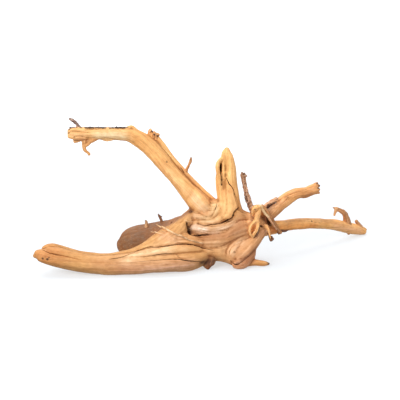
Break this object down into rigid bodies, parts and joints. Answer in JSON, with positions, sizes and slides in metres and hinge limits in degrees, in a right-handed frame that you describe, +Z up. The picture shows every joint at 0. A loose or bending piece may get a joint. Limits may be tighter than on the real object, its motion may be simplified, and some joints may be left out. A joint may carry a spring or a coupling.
{
  "type": "dry root",
  "caption": "Dried, barkless tree root: a long fluted front root, back lobe, arched limb, split upright stump, spreading side roots, burl and tangled rootlets.",
  "frame": {"origin": "middle of the box's bottom, on the plane the root rests on", "axes": "+X along the root's length, from the tip of the front root to the tip of the lower side root; -Y towards the front view; +Z up"},
  "size_m": [0.5198, 0.2234, 0.219],
  "materials": {
    "wood": "dry, barkless, matt"
  },
  "bodies": {
    "root": {"dry_root": "wood"}
  },
  "joints": []
}
